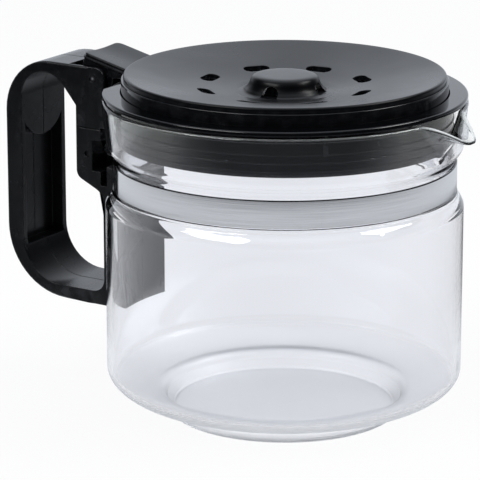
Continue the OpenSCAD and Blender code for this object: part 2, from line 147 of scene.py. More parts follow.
def add_colour_mix(tree, share, first, second):
    """A colour between two colours."""
    node = add_node(tree, "ShaderNodeMix", data_type="RGBA")
    for socket, value in zip((node.inputs[0], node.inputs[6], node.inputs[7]), (share, first, second)):
        if isinstance(value, bpy.types.NodeSocket):
            tree.links.new(value, socket)
        else:
            socket.default_value = value
    return node.outputs[2]


def take_axis(tree, vector, axis):
    """One coordinate of a vector."""
    return add_node(tree, "ShaderNodeSeparateXYZ", {"Vector": vector}).outputs[axis]


def grey(value):
    """A neutral colour."""
    return (value, value, value, 1)


print("node helpers ready, grey(0.5) is", grey(0.5))

# %% [markdown]
# ## The studio
# The picture has a white ground. More light would whiten it too, but would also turn the black lid grey.
# So the lamps stay plain, and the world and the floor glow by themselves where the camera sees them, or
# sees them through the glass towards the back.
#
# What the jug mirrors is chosen by place. The lid's top mirrors the back wall, and rounded edges the
# ceiling. An upright wall mirrors the floor in front of it, and the higher the wall, the further away. The
# paper near the jug is pale, a bright strip lies where the steel band looks, and the rest is the dark
# studio behind the camera, which gives black plastic its depth.

# %% The light round the object
FRONT_GLOW = 0.04
BACK_GLOW = 1.0
TOP_GLOW = 1.0
COOL = (0.87, 0.92, 1, 1)
# Where each glow starts and ends, along a direction of length 1.
BACK_WALL = (-0.88, -0.5)
CEILING = (0.62, 0.85)
WHITE_WORLD = (-0.3, 0.05)
front_direction = Vector((math.sin(VIEW_AZIMUTH), -math.cos(VIEW_AZIMUTH), 0))


def add_ahead(tree, position):
    """How far a point or a direction is to the front."""
    return add_vector_math(tree, "DOT_PRODUCT", position, front_direction)


def add_plain_white(tree, ahead, bright_until, dark_from):
    """One where the ground is seen by the camera, or through glass towards the back."""
    ray = add_node(tree, "ShaderNodeLightPath").outputs
    behind = add_range(tree, ahead, bright_until, dark_from, 1.0, 0.0)
    through = add_math(tree, "MULTIPLY", ray["Is Transmission Ray"], behind)
    return add_math(tree, "MAXIMUM", ray["Is Camera Ray"], through)


world = bpy.data.worlds.new("studio")
bpy.context.scene.world = world
world.use_nodes = True
tree = world.node_tree
tree.nodes.clear()
direction = add_node(tree, "ShaderNodeTexCoord").outputs["Generated"]
ahead = add_ahead(tree, direction)
glow = add_range(tree, ahead, *BACK_WALL, BACK_GLOW, FRONT_GLOW)
upward = take_axis(tree, direction, "Z")
glow = add_math(tree, "MAXIMUM", glow, add_range(tree, upward, *CEILING, 0.0, TOP_GLOW))
white = add_plain_white(tree, ahead, *WHITE_WORLD)
strength = add_math(tree, "MAXIMUM", glow, white)
cool = add_colour_mix(tree, white, COOL, grey(1))
sky = add_node(tree, "ShaderNodeBackground", {"Color": cool, "Strength": strength})
tree.links.new(sky.outputs[0], add_node(tree, "ShaderNodeOutputWorld").inputs["Surface"])
print("world of", len(tree.nodes), "nodes")

# %% The floor
FLOOR_RADIUS = 6
FLOOR_GAP = 0.0002
PAPER_GLOW = 0.85
MID_GLOW = 0.2
STRIP_GLOW = 0.72
SHADOW_SHARE = 0.08
# Where each starts and ends, in metres. The first three are rings round the jug.
PAPER_ENDS = (0.12, 0.22)
STRIP_STARTS = (0.365, 0.385)
STRIP_ENDS = (0.445, 0.475)
SWEEP = (-0.45, -0.25)
WHITE_FLOOR = (0.1, 0.3)

bm = bmesh.new()
bmesh.ops.create_circle(bm, cap_ends=True, segments=96, radius=FLOOR_RADIUS)
floor_mesh = bpy.data.meshes.new("floor")
bm.to_mesh(floor_mesh)
bm.free()
floor = add_object("floor", floor_mesh)
floor.location.z = -FLOOR_GAP
floor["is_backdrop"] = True

floor_paper = bpy.data.materials.new("floor_paper")
floor_paper.use_nodes = True
tree = floor_paper.node_tree
tree.nodes.clear()
position = add_node(tree, "ShaderNodeTexCoord").outputs["Object"]
ray = add_node(tree, "ShaderNodeLightPath")
ahead = add_ahead(tree, position)
away = add_vector_math(tree, "LENGTH", position)
near_glow = add_range(tree, away, *PAPER_ENDS, PAPER_GLOW, MID_GLOW)
strip_glow = add_range(tree, away, *STRIP_STARTS, 0.0, STRIP_GLOW)
paper_glow = add_math(tree, "MULTIPLY", add_math(tree, "MAXIMUM", near_glow, strip_glow),
                      add_range(tree, away, *STRIP_ENDS, 1.0, FRONT_GLOW))
sweep_glow = add_range(tree, ahead, *SWEEP, BACK_GLOW, 0.0)
white = add_plain_white(tree, ahead, *WHITE_FLOOR)
glow = add_math(tree, "MAXIMUM", add_math(tree, "MAXIMUM", paper_glow, sweep_glow), white)
cool = add_colour_mix(tree, white, COOL, grey(1))
mirrored = add_math(tree, "MAXIMUM", ray.outputs["Is Glossy Ray"], ray.outputs["Is Transmission Ray"])
paper = add_node(tree, "ShaderNodeBsdfDiffuse", {"Color": grey(0.9)})
light = add_node(tree, "ShaderNodeEmission", {"Color": cool, "Strength": glow})
seen = add_math(tree, "MULTIPLY", ray.outputs["Is Camera Ray"], 1 - SHADOW_SHARE)
share = add_math(tree, "MAXIMUM", mirrored, seen)
mix = add_node(tree, "ShaderNodeMixShader", {0: share, 1: paper.outputs[0], 2: light.outputs[0]})
tree.links.new(mix.outputs[0], add_node(tree, "ShaderNodeOutputMaterial").inputs["Surface"])
floor_mesh.materials.append(floor_paper)
print("floor radius", FLOOR_RADIUS, "m")

# %% The lamps
LAMP_DISTANCE = 0.94
LAMP_HEIGHT = 1.05


def add_softbox(name, turn, width, height, watts):
    """A wide lamp that looks at the jug, turned from the front in degrees, to the right if positive."""
    away = front_direction * math.cos(math.radians(turn)) + picture_right * math.sin(math.radians(turn))
    place = away * LAMP_DISTANCE + Vector((0, 0, LAMP_HEIGHT))
    lamp = bpy.data.lights.new(name, "AREA")
    lamp.shape = "RECTANGLE"
    lamp.size, lamp.size_y = width, height
    lamp.energy = watts
    softbox = add_object(name, lamp)
    softbox.location = place
    softbox.rotation_euler = (JUG_MIDDLE - place).to_track_quat("-Z", "Y").to_euler()
    print(name, "at", [round(x, 2) for x in place])


add_softbox("softbox_left", -56, 0.95, 0.3, 8)
add_softbox("softbox_right", 90, 0.7, 0.35, 8)

# %% [markdown]
# ## Shared effects
# Moulded plastic and metal have the same small flaws at different strengths: a fine grain, soft clouds
# where the surface is a little duller, hairline marks from wiping, and edges that wear brighter. They could
# be drawn anew in each material, but a node group is built once, and takes each material's own values.

# %% Start a group
def start_group(name, numbers, outputs):
    """A shader group with a vector input, number inputs with their first values, and float outputs."""
    group = bpy.data.node_groups.new(name, "ShaderNodeTree")
    group.interface.new_socket("Vector", in_out="INPUT", socket_type="NodeSocketVector")
    for label, value in numbers.items():
        socket = group.interface.new_socket(label, in_out="INPUT", socket_type="NodeSocketFloat")
        socket.default_value = value
    for label in outputs:
        group.interface.new_socket(label, in_out="OUTPUT", socket_type="NodeSocketFloat")
    inside = add_node(group, "NodeGroupInput").outputs
    outside = add_node(group, "NodeGroupOutput").inputs
    return group, inside, outside


# %% Small flaws
surface_flaws, inside, outside = start_group(
    "surface_flaws", {"Grain Scale": 2200, "Cloud Scale": 35}, ("Grain", "Clouds", "Marks")
)
grain = add_noise(surface_flaws, inside["Vector"], inside["Grain Scale"], 3.0)
clouds = add_noise(surface_flaws, inside["Vector"], inside["Cloud Scale"], 2.0)
cells = add_node(surface_flaws, "ShaderNodeTexVoronoi",
                 {"Vector": inside["Vector"], "Scale": 90.0}, feature="DISTANCE_TO_EDGE")
hairline = add_range(surface_flaws, cells.outputs["Distance"], 0.0, 0.012, 1.0, 0.0)
patches = add_range(surface_flaws, clouds, 0.52, 0.62, 0.0, 1.0)
surface_flaws.links.new(grain, outside["Grain"])
surface_flaws.links.new(clouds, outside["Clouds"])
surface_flaws.links.new(add_math(surface_flaws, "MULTIPLY", hairline, patches), outside["Marks"])
print(surface_flaws.name, "has", len(surface_flaws.nodes), "nodes")

# %% Worn edges
edge_wear, inside, outside = start_group("edge_wear", {"Noise Scale": 260}, ("Mask",))
bend = add_node(edge_wear, "ShaderNodeNewGeometry").outputs["Pointiness"]
sharpness = add_range(edge_wear, bend, 0.515, 0.6, 0.0, 1.0)
speckle = add_noise(edge_wear, inside["Vector"], inside["Noise Scale"], 3.0)
broken = add_range(edge_wear, speckle, 0.4, 0.7, 0.2, 1.0)
edge_wear.links.new(add_math(edge_wear, "MULTIPLY", sharpness, broken), outside["Mask"])
print(edge_wear.name, "has", len(edge_wear.nodes), "nodes")

# %% Lines from rolling
rolled_streaks, inside, outside = start_group("rolled_streaks", {"Streak Scale": 1500}, ("Streaks",))
axes = add_node(rolled_streaks, "ShaderNodeSeparateXYZ", {"Vector": inside["Vector"]}).outputs
turn = add_math(rolled_streaks, "ARCTAN2", axes["Y"], axes["X"])
height = add_math(rolled_streaks, "MULTIPLY", axes["Z"], inside["Streak Scale"])
along = add_node(rolled_streaks, "ShaderNodeCombineXYZ", {"X": turn, "Y": 0.0, "Z": height}).outputs[0]
rolled_streaks.links.new(add_noise(rolled_streaks, along, 2.0, 2.0), outside["Streaks"])
print(rolled_streaks.name, "has", len(rolled_streaks.nodes), "nodes")

# %% [markdown]
# ## Black plastic
# The handle and the lid are both moulded in black plastic. The handle's mould was lightly textured, so it
# shines softly. The collar and the cap's wall come from a polished mould. The cap's top and the thumb
# plate are satin, and blur the pale wall behind them into an even grey. Three separate materials would
# repeat the same nodes, so one function makes them all, from the colour, the gloss and the grain. It
# also holds the shine back on steep faces and inside the lid, where hardly any light comes.

# %% Start a material
def place_group(tree, group, vector, **numbers):
    """Places a shared effect in a material."""
    node = add_node(tree, "ShaderNodeGroup", node_tree=group)
    tree.links.new(vector, node.inputs["Vector"])
    for label, value in numbers.items():
        node.inputs[label.replace("_", " ")].default_value = value
    return node.outputs


def start_material(name):
    """A material with its Principled shader and the piece's own coordinates."""
    material = bpy.data.materials.new(name)
    material.use_nodes = True
    tree = material.node_tree
    place = add_node(tree, "ShaderNodeTexCoord").outputs["Object"]
    return material, tree, tree.nodes["Principled BSDF"], place


def bump_from(tree, shader, height, strength, depth):
    """Raises the surface a little from a height value."""
    bump = add_node(tree, "ShaderNodeBump", {"Strength": strength, "Distance": depth, "Height": height})
    tree.links.new(bump.outputs["Normal"], shader.inputs["Normal"])


print("helpers for materials ready")


# %% Find the inside of the lid
def add_inside(tree, place):
    """One on faces that look down or at the jug's axis."""
    normal = add_node(tree, "ShaderNodeTexCoord").outputs["Normal"]
    level = add_vector_math(tree, "MULTIPLY", place, Vector((1, 1, 0)))
    outwards = add_vector_math(tree, "NORMALIZE", level)
    facing = add_vector_math(tree, "DOT_PRODUCT", normal, outwards)
    inwards = add_range(tree, facing, -0.4, -0.7, 0.0, 1.0)
    upward = take_axis(tree, normal, "Z")
    return add_math(tree, "MAXIMUM", inwards, add_range(tree, upward, -0.5, -0.8, 0.0, 1.0))


print("mask for insides ready")

# %% Make the black plastics
HANDLE_BLACK = (0.0035, 0.0037, 0.0045, 1)
LID_BLACK = (0.0018, 0.002, 0.0026, 1)
WORN_BLACK = (0.05, 0.052, 0.056, 1)
LEVEL_FACES = (0.65, 0.93)


def black_plastic(name, colour, dull, grain_scale, grain_depth, specular, flank, inner):
    """Moulded black plastic. Dull holds its roughness where wiped and where cloudy, specular and flank its
    shine on faces that look up and on steep faces, and inner the share of it that is left inside."""
    material, tree, shader, place = start_material(name)
    flaws = place_group(tree, surface_flaws, place, Grain_Scale=grain_scale, Cloud_Scale=32.0)
    wear = place_group(tree, edge_wear, place, Noise_Scale=260.0)["Mask"]
    worn = add_math(tree, "MULTIPLY", wear, 0.5)
    marked = add_math(tree, "MULTIPLY", flaws["Marks"], 0.25)
    paler = add_math(tree, "MAXIMUM", worn, marked)
    tree.links.new(add_colour_mix(tree, paler, colour, WORN_BLACK), shader.inputs["Base Color"])
    rough = add_range(tree, flaws["Clouds"], 0.35, 0.65, *dull)
    rough = add_math(tree, "ADD", rough, add_math(tree, "MULTIPLY", paler, 0.12))
    tree.links.new(rough, shader.inputs["Roughness"])
    normal = add_node(tree, "ShaderNodeTexCoord").outputs["Normal"]
    upward = take_axis(tree, normal, "Z")
    level = add_range(tree, upward, *LEVEL_FACES, flank, specular)
    open_share = add_range(tree, add_inside(tree, place), 0.0, 1.0, 1.0, inner)
    tree.links.new(add_math(tree, "MULTIPLY", level, open_share), shader.inputs["Specular IOR Level"])
    # The socket also holds a plain value, for anything that reads it without following the link.
    shader.inputs["Specular IOR Level"].default_value = specular
    bump_from(tree, shader, flaws["Grain"], 0.35, grain_depth)
    print("made", name)
    return material


black_handle = black_plastic("black_handle", HANDLE_BLACK, (0.22, 0.3), 2600.0, 0.00003, 0.4, 0.28, 1.0)
black_lid = black_plastic("black_lid", LID_BLACK, (0.07, 0.12), 1500.0, 0.00001, 0.4, 0.4, 0.04)
black_satin = black_plastic("black_satin", LID_BLACK, (0.27, 0.33), 1500.0, 0.00001, 0.5, 0.12, 0.04)

# %% [markdown]
# ## Steel and rubber
# The band is rolled stainless strip: a mirror with very fine lines round it, and a painted shade on its top
# edge, where it meets the glass. The screw, nut and washers are duller steel. The pins are blackened, with a
# painted highlight at the middle of the hinge pin's end.
# Steel could be a grey glossy plastic, but only a pure metal takes its colour from what it mirrors.

# %% Make the band's steel
BAND_SHADE_Z = (0.1014, 0.1016)

polished_steel, tree, shader, place = start_material("polished_steel")
streaks = place_group(tree, rolled_streaks, place, Streak_Scale=1500.0)["Streaks"]
flaws = place_group(tree, surface_flaws, place, Grain_Scale=1800.0, Cloud_Scale=45.0)
tone = add_colour_mix(tree, streaks, (0.84, 0.83, 0.82, 1), (0.92, 0.91, 0.9, 1))
height = take_axis(tree, place, "Z")
# Painted shade: the band's top edge is darkened to near black, standing in for the shadow in the gap under
# the glass.
painted_light_edge = add_range(tree, height, *BAND_SHADE_Z, 0.0, 1.0)
tone = add_colour_mix(tree, painted_light_edge, tone, (0.03, 0.03, 0.035, 1))
tree.links.new(tone, shader.inputs["Base Color"])
rough = add_range(tree, streaks, 0.3, 0.7, 0.07, 0.13)
rough = add_math(tree, "ADD", rough, add_math(tree, "MULTIPLY", flaws["Marks"], 0.03))
tree.links.new(rough, shader.inputs["Roughness"])
shader.inputs["Metallic"].default_value = 1
bump_from(tree, shader, streaks, 0.12, 0.00002)
print("made", polished_steel.name)


# %% Make the screw's steel and the rubber
def cloudy_finish(name, scales, tones, gloss, grain_strength, grain_depth, metallic):
    """A finish whose colour and gloss vary in soft clouds. Scales are those of its grain and its clouds."""
    material, tree, shader, place = start_material(name)
    flaws = place_group(tree, surface_flaws, place, Grain_Scale=scales[0], Cloud_Scale=scales[1])
    tree.links.new(add_colour_mix(tree, flaws["Clouds"], *tones), shader.inputs["Base Color"])
    tree.links.new(add_range(tree, flaws["Clouds"], 0.3, 0.7, *gloss), shader.inputs["Roughness"])
    shader.inputs["Metallic"].default_value = metallic
    bump_from(tree, shader, flaws["Grain"], grain_strength, grain_depth)
    print("made", name)
    return material


screw_steel = cloudy_finish("screw_steel", (2400.0, 300.0), ((0.42, 0.42, 0.43, 1), (0.66, 0.66, 0.67, 1)),
                            (0.22, 0.38), 0.3, 0.00003, 1)
seal_rubber = cloudy_finish("seal_rubber", (1600.0, 60.0), ((0.012, 0.012, 0.013, 1), (0.03, 0.03, 0.032, 1)),
                            (0.55, 0.75), 0.5, 0.00005, 0)

# %% Make the dark pins
PIN_S = 81.1
PIN_Z = 126.2
HINGE_AXIS = Vector((-PIN_S, 0, PIN_Z)) * MM
PAINTED_GLINT_SPOT = (0.0002, 0.0007)

dark_pin, tree, shader, place = start_material("dark_pin")
flaws = place_group(tree, surface_flaws, place, Grain_Scale=2400.0, Cloud_Scale=300.0)
# Painted highlight: a small pale spot at the middle of the hinge pin's end stands in for a glint.
beside = add_vector_math(tree, "MULTIPLY", place, Vector((1, 0, 1)))
from_axis = add_vector_math(tree, "DISTANCE", beside, HINGE_AXIS)
glint_spot = add_range(tree, from_axis, *PAINTED_GLINT_SPOT, 1.0, 0.0)
glint_share = add_math(tree, "MULTIPLY", glint_spot, add_range(tree, flaws["Clouds"], 0.3, 0.7, 0.6, 1.0))
tone = add_colour_mix(tree, glint_share, (0.006, 0.006, 0.007, 1), (0.3, 0.3, 0.32, 1))
tree.links.new(tone, shader.inputs["Base Color"])
tree.links.new(add_range(tree, flaws["Clouds"], 0.3, 0.7, 0.3, 0.45), shader.inputs["Roughness"])
bump_from(tree, shader, flaws["Grain"], 0.3, 0.00003)
print("made", dark_pin.name)

# %% [markdown]
# ## Clear glass
# Borosilicate glass is clear and a little green where it is thick, at the rim. The jug could be one solid
# with a thin-wall trick, but a closed wall with an outer and an inner skin bends light twice, as real
# glass does. Blown glass is never quite even, which a shallow bump gives, deepest in the pressed base.
# There the glass also blurs a little. Lamp light passes straight through, because light bent by glass takes
# very long to render. The pouring lip's edge gets a painted highlight, a pale diffuse shader on its upper
# side.

# %% Mark the parts of the glass
RIM_TINT_Z = (0.116, 0.1236)
BASE_BLUR_Z = (0.014, 0.02)
BASE_WAVES_Z = (0.012, 0.03)
LIP_STARTS_X = (0.068, 0.074)
LIP_ENDS_X = (0.081, 0.083)

clear_glass, tree, shader, place = start_material("clear_glass")
height = take_axis(tree, place, "Z")
reach = take_axis(tree, place, "X")
rim_share = add_range(tree, height, *RIM_TINT_Z, 0.0, 1.0)
edge = add_node(tree, "ShaderNodeAttribute", attribute_name="lip_edge").outputs["Fac"]
on_lip = add_math(tree, "MINIMUM", add_range(tree, reach, *LIP_STARTS_X, 0.04, 0.8),
                  add_range(tree, reach, *LIP_ENDS_X, 0.8, 0.1))
edge = add_math(tree, "MULTIPLY", edge, on_lip)
normal = add_node(tree, "ShaderNodeTexCoord").outputs["Normal"]
upward = take_axis(tree, normal, "Z")
painted_light_edge = add_math(tree, "MULTIPLY", edge, add_range(tree, upward, 0.1, 0.6, 0.0, 1.0))
print("glass marked at the rim, the lip and the base")

# %% Make the glass
tint = add_colour_mix(tree, rim_share, (0.92, 0.93, 0.958, 1), (0.9, 0.935, 0.92, 1))
tree.links.new(tint, shader.inputs["Base Color"])
blur = add_math(tree, "MAXIMUM", add_math(tree, "MULTIPLY", edge, 0.5),
                add_range(tree, height, *BASE_BLUR_Z, 0.3, 0.0))
tree.links.new(blur, shader.inputs["Roughness"])
shader.inputs["IOR"].default_value = 1.5
shader.inputs["Transmission Weight"].default_value = 1
waves = add_noise(tree, place, 28.0, 1.0)
depth = add_range(tree, height, *BASE_WAVES_Z, 2.5, 0.8)
bump_from(tree, shader, add_math(tree, "MULTIPLY", waves, depth), 0.3, 0.0004)
ray = add_node(tree, "ShaderNodeLightPath").outputs
see_through = add_node(tree, "ShaderNodeBsdfTransparent", {"Color": (0.95, 0.96, 0.97, 1)})
unseen = add_math(tree, "MAXIMUM", ray["Is Shadow Ray"], ray["Is Diffuse Ray"])
# Painted highlight: a pale diffuse shader is mixed in on the upward faces of the lip's edge, in place of a
# lamp's highlight.
pale = add_node(tree, "ShaderNodeBsdfDiffuse", {"Color": (0.9, 0.93, 0.92, 1)})
glass_with_painted_highlight = add_node(tree, "ShaderNodeMixShader", {0: painted_light_edge, 1: shader.outputs[0], 2: pale.outputs[0]})
mix = add_node(tree, "ShaderNodeMixShader", {0: unseen, 1: glass_with_painted_highlight.outputs[0], 2: see_through.outputs[0]})
tree.links.new(mix.outputs[0], tree.nodes["Material Output"].inputs["Surface"])
print("made", clear_glass.name)

# %% [markdown]
# ## Helpers for shapes
# Most of this product is round. A round piece is made as on a potter's wheel: its outline is drawn once,
# from the axis outwards, and bmesh spins it. Its corners could be bevelled after the spin, but rounding
# them in the outline gives cleaner, even faces. Flat moulded pieces are drawn from the side or from above
# and extruded, then bevelled.

# %% Outlines
def arc(centre, radius, start, stop, steps):
    """Points along an arc, with its angles in degrees."""
    angles = [math.radians(start + (stop - start) * i / steps) for i in range(steps + 1)]
    return [(centre[0] + radius * math.cos(a), centre[1] + radius * math.sin(a)) for a in angles]


def soft_step(low, high, steps):
    """A smooth step between two points (radius, height)."""
    points = []
    for i in range(steps + 1):
        t = i / steps
        ease = (1 - math.cos(math.pi * t)) / 2
        points.append((low[0] + (high[0] - low[0]) * ease, low[1] + (high[1] - low[1]) * t))
    return points


def rounded(corners, steps=5):
    """An outline of corners (across, up, rounding) with each corner replaced by an arc."""
    outline = []
    for i, (across, up, radius) in enumerate(corners):
        if radius == 0:
            outline.append((across, up))
            continue
        here = Vector((across, up))
        before = (Vector(corners[i - 1][:2]) - here).normalized()
        after = (Vector(corners[(i + 1) % len(corners)][:2]) - here).normalized()
        half = before.angle(after) / 2
        centre = here + (before + after).normalized() * radius / math.sin(half)
        first = here + before * radius / math.tan(half) - centre
        last = here + after * radius / math.tan(half) - centre
        sweep = first.angle_signed(last)
        for k in range(steps + 1):
            angle = math.atan2(first.y, first.x) - sweep * k / steps
            outline.append((centre.x + radius * math.cos(angle), centre.y + radius * math.sin(angle)))
    return outline


def smooth_through(points, steps):
    """A smooth curve through a few points."""
    padded = [points[0], *points, points[-1]]
    curve = []
    for a, b, c, d in zip(padded, padded[1:], padded[2:], padded[3:]):
        for k in range(steps):
            t = k / steps
            curve.append(tuple(
                0.5 * (2 * b[n] + (c[n] - a[n]) * t + (2 * a[n] - 5 * b[n] + 4 * c[n] - d[n]) * t * t
                       + (3 * b[n] - a[n] - 3 * c[n] + d[n]) * t ** 3)
                for n in (0, 1)
            ))
    return [*curve, points[-1]]


print("outline of a 10 mm square with 2 mm corners:",
      len(rounded([(0, 0, 2), (10, 0, 2), (10, 10, 2), (0, 10, 2)])), "points")


# %% Spins, slabs and cuts
def of_kind(items, kind):
    """The vertices or edges among what an operator gives back."""
    return [item for item in items if isinstance(item, kind)]


def spin(bm, outline, steps=192, start=0.0, stop=360.0, closed=False):
    """Spins an outline of (radius, height) in mm about the upright axis. Gives its first and last edges."""
    turn = math.radians(start)
    verts = [bm.verts.new((r * MM * math.cos(turn), r * MM * math.sin(turn), z * MM)) for r, z in outline]
    pairs = list(zip(verts, verts[1:])) + ([(verts[-1], verts[0])] if closed else [])
    edges = [bm.edges.new(pair) for pair in pairs]
    made = bmesh.ops.spin(bm, geom=verts + edges, cent=(0, 0, 0), axis=(0, 0, 1),
                          angle=math.radians(stop - start), steps=steps, use_merge=stop - start == 360)
    return edges, of_kind(made["geom_last"], bmesh.types.BMEdge)


def grow(bm, points, reach):
    """A slab: a flat outline of points in mm, extruded by a vector in mm."""
    face = bm.faces.new([bm.verts.new(Vector(point) * MM) for point in points])
    grown = bmesh.ops.extrude_face_region(bm, geom=[face])["geom"]
    bmesh.ops.translate(bm, vec=Vector(reach) * MM, verts=of_kind(grown, bmesh.types.BMVert))


def side_slab(bm, outline, near, far):
    """A slab with an outline of (distance from the axis, height), between two widths."""
    grow(bm, [(-s, -near, z) for s, z in outline], (0, near - far, 0))


def flat_slab(bm, outline, low, high):
    """A slab with an outline seen from above, (x, y), between two heights."""
    grow(bm, [(x, y, low) for x, y in outline], (0, 0, high - low))


def cut_flat(bm, place, direction, dist=0.001, **more):
    """Cuts all faces along a plane through a place in mm, and gives the new edges."""
    cut = bmesh.ops.bisect_plane(bm, geom=bm.verts[:] + bm.edges[:] + bm.faces[:], dist=dist * MM,
                                 plane_co=Vector(place) * MM, plane_no=direction, **more)
    return of_kind(cut["geom_cut"], bmesh.types.BMEdge)


print("shape helpers ready")


# %% Edges, bevels and finished pieces
def close_up(bm):
    """Merges doubled points and turns the faces outwards."""
    bmesh.ops.remove_doubles(bm, verts=bm.verts, dist=0.002 * MM)
    bmesh.ops.recalc_face_normals(bm, faces=bm.faces)


def sharp_edges(bm, degrees=35, wanted=None):
    """The edges where two faces meet at more than an angle."""
    limit = math.radians(degrees)
    return [e for e in bm.edges if len(e.link_faces) == 2 and e.calc_face_angle(0) > limit
            and (wanted is None or wanted(e))]


def bevel(bm, edges, width, segments=3):
    """Rounds edges by a width in mm."""
    bmesh.ops.bevel(bm, geom=edges, offset=width * MM, offset_type="OFFSET", segments=segments,
                    profile=0.5, affect="EDGES", material=-1)


def as_mesh(name, bm):
    """A mesh from a finished bmesh."""
    mesh = bpy.data.meshes.new(name)
    bm.to_mesh(mesh)
    bm.free()
    return mesh


def finish_mesh(name, bm, material, sharp=32):
    """Makes the piece, smooth but for its hard edges, and gives it its material."""
    mesh = as_mesh(name, bm)
    mesh.shade_smooth()
    mesh.set_sharp_from_angle(angle=math.radians(sharp))
    mesh.materials.append(material)
    piece = add_object(name, mesh)
    weighted = piece.modifiers.new("even_shading", "WEIGHTED_NORMAL")
    weighted.keep_sharp = True
    print(name, len(mesh.polygons), "faces")
    return piece


def stand_for(piece, body, node):
    """The piece replaces a CAD node and moves with its body."""
    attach(piece, body)
    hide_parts(node)


print("helpers for finished pieces ready")

# %% [markdown]
# ## The glass jug
# The jug is blown into a mould, so its wall is everywhere about as thick. It could be one skin with a
# Solidify modifier, but the foot and the rolled rim would come out uneven. So both skins are drawn. The
# outline runs from the middle of the base out round the foot, up the wall, in at the band's groove and up
# the neck to the rim, then back down inside. The lip's side is spun with finer steps, because its curves
# are tight.

# %% Set the jug's sizes
GLASS = 2.2
WALL_R = 70.0
BASE_FLAT_R = 20
FOOT_R = 45.8
FOOT_EDGE_R = 1.2
FOOT_TOP_R = 48.4
FOOT_H = 7.7
STEP_R = 2.4
CORNER_W = 18.0
CORNER_H = 10.8
CORNER_Z = FOOT_H + CORNER_H
WALL_TOP = 83.7
GROOVE_R = 66.5
GROOVE_Z = 90.4
GROOVE_TOP = 102.6
NECK_R = 69.6
NECK_Z = 108.6
RIM_R = 71.2
RIM_Z = 126.0
WALL_END_Z = RIM_Z - GLASS / 2
print("jug", 2 * WALL_R, "mm wide and", RIM_Z, "mm high")


# %% Draw and spin the jug
def corner_curve(inset, steps=26):
    """The rounded lower corner of the jug."""
    points = []
    for i in range(steps + 1):
        turn = math.radians(270 + 90 * i / steps)
        points.append((WALL_R - CORNER_W + (CORNER_W - inset) * math.cos(turn),
                       CORNER_Z + (CORNER_H - inset) * math.sin(turn)))
    return points


def inwards(points):
    """The same curve on the inner skin, drawn the other way."""
    return [(r - GLASS, z) for r, z in reversed(points)]


def upright(radius_low, low, radius_high, high, steps):
    """Even points up a wall, without its ends."""
    return [(radius_low + (radius_high - radius_low) * i / steps, low + (high - low) * i / steps)
            for i in range(1, steps)]


LEDGE = (GROOVE_R + 1.0, GROOVE_Z - 0.8)
shoulder = [*soft_step((WALL_R, WALL_TOP), LEDGE, 16), *soft_step(LEDGE, (GROOVE_R, GROOVE_Z), 5)[1:]]
neck_step = soft_step((GROOVE_R, GROOVE_TOP), (NECK_R, NECK_Z), 14)
neck_wall = upright(NECK_R, NECK_Z, RIM_R, WALL_END_Z, 24)
step_middle = (FOOT_TOP_R + STEP_R, FOOT_H - STEP_R)
outer = [
    (0, 0), (BASE_FLAT_R, 0), *arc((FOOT_R - FOOT_EDGE_R, FOOT_EDGE_R), FOOT_EDGE_R, 270, 360, 8),
    *arc(step_middle, STEP_R, 180, 90, 10),
    *corner_curve(0)[1:], *upright(WALL_R, CORNER_Z, WALL_R, WALL_TOP, 12), *shoulder,
    *upright(GROOVE_R, GROOVE_Z, GROOVE_R, GROOVE_TOP, 4), *neck_step, *neck_wall,
]
rim = arc((RIM_R - GLASS / 2, WALL_END_Z), GLASS / 2, 0, 180, 12)
inner = [
    *inwards(neck_wall), *inwards(neck_step), *inwards(upright(GROOVE_R, GROOVE_Z, GROOVE_R, GROOVE_TOP, 4)),
    *inwards(shoulder), *inwards(upright(WALL_R, CORNER_Z, WALL_R, WALL_TOP, 12)),
    *reversed(corner_curve(GLASS)[1:]),
    *arc(step_middle, STEP_R + GLASS, 90, 180, 10),
    *arc((FOOT_R - FOOT_EDGE_R - GLASS, FOOT_EDGE_R + GLASS), FOOT_EDGE_R, 360, 270, 6),
    (BASE_FLAT_R, GLASS), (0, GLASS),
]
jug_outline = outer + rim + inner
SPOUT_EDGE = 27.0
bm = bmesh.new()
spin(bm, jug_outline, 96, -SPOUT_EDGE, SPOUT_EDGE)
spin(bm, jug_outline, 170, SPOUT_EDGE, 360 - SPOUT_EDGE)
close_up(bm)
print("outline of", len(jug_outline), "points, open edges:", sum(e.is_boundary for e in bm.edges))

# %% [markdown]
# ## The pouring lip
# A glass blower heats one side of the rim and draws it out with a rod. The lip could be sculpted, or bent
# with a lattice, but the wall would lose its even thickness. So each point near the spout is moved by
# rule. One line gives the middle of the lip, from its root to its tip, and to each side the lip falls back
# to the round neck. The skin's new direction is measured at each point, and the wall's thickness is laid
# along it, thinner towards the tip. The rim is marked, so that the glass finish can find it.

# %% Rules for the pouring lip
LIP_LINE = smooth_through([
    (69.6, 109.0), (70.9, 111.9), (72.3, 113.9), (73.8, 116.0), (75.5, 117.6), (77.3, 118.3), (79.4, 118.1),
    (81.2, 117.9), (82.7, 118.0),
], 8)
LIP_ROOT_Z = 108.8
LIP_SIDE_SLOPE = 1.15
LIP_NOSE_R = 4.5
LIP_THINNING = 0.5
LIP_BLEND = 1.7
LIP_FADE = 6.0
LIP_FALL_POWER = 1.5


def neck_radius(z):
    """The outer radius of the neck, which widens a little to the rim."""
    return NECK_R + (RIM_R - NECK_R) * max(0, z - NECK_Z) / (WALL_END_Z - NECK_Z)


def along_lip(rise):
    """The point (distance from the axis, height) on the middle of the lip's underside."""
    place = min(max(rise, 0), 1) * (len(LIP_LINE) - 1)
    i = min(int(place), len(LIP_LINE) - 2)
    return tuple(a + (b - a) * (place - i) for a, b in zip(LIP_LINE[i], LIP_LINE[i + 1]))


